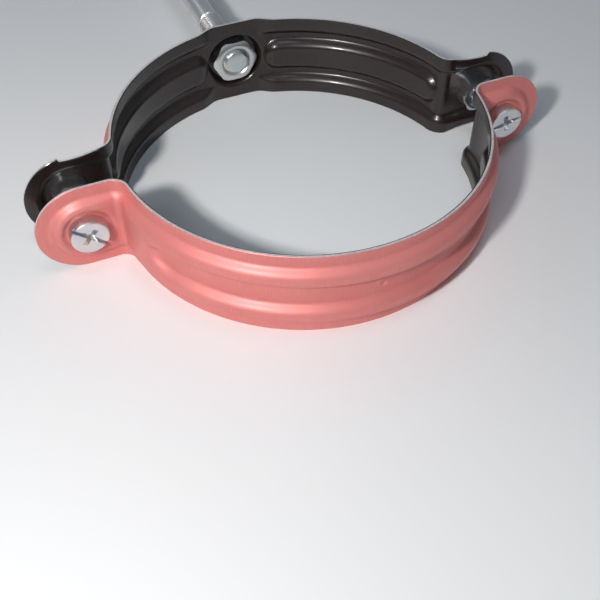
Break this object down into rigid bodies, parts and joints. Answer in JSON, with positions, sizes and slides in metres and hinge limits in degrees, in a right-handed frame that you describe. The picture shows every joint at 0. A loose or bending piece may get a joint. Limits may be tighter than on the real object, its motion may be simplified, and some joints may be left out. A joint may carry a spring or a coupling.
{
  "type": "pipe clamp",
  "caption": "Two-piece pressed steel clamp for a round downpipe, with screwed ears and a hanger bolt for a wall plug.",
  "frame": {"origin": "on the pipe's axis at the band's mid height", "axes": "+Z along the pipe, +Y along the hanger bolt away from the pipe, +X towards the right ear"},
  "size_m": [0.149, 0.2034, 0.026],
  "materials": {
    "painted_steel": "satin salmon red outside, glossy dark brown inside, bare cut edges",
    "zinc_steel": "bright zinc plate"
  },
  "bodies": {
    "rear": {"rear_band": "painted_steel", "clamp_nut_left": "zinc_steel", "clamp_nut_right": "zinc_steel", "hanger_bolt": "zinc_steel", "hanger_nut": "zinc_steel", "hanger_lock_nut": "zinc_steel"},
    "front": {"front_band": "painted_steel"},
    "left_screw": {"clamp_screw_left": "zinc_steel"},
    "right_screw": {"clamp_screw_right": "zinc_steel"}
  },
  "joints": [
    {"name": "front_slide", "type": "slide", "parent": "rear", "child": "front", "axis": [0, 1, 0], "range_m": [-0.008, 0.01]},
    {"name": "left_screw_turn", "type": "hinge", "parent": "front", "child": "left_screw", "pos_m": [-0.0615, 0, 0], "axis": [0, 1, 0], "range_deg": [-2880, 3600]},
    {"name": "right_screw_turn", "type": "hinge", "parent": "front", "child": "right_screw", "pos_m": [0.0615, 0, 0], "axis": [0, 1, 0], "range_deg": [-2880, 3600]}
  ],
  "couplings": [
    {"joint": "left_screw_turn", "follows": "front_slide", "rad_per_m": 6283.2},
    {"joint": "right_screw_turn", "follows": "front_slide", "rad_per_m": 6283.2}
  ]
}
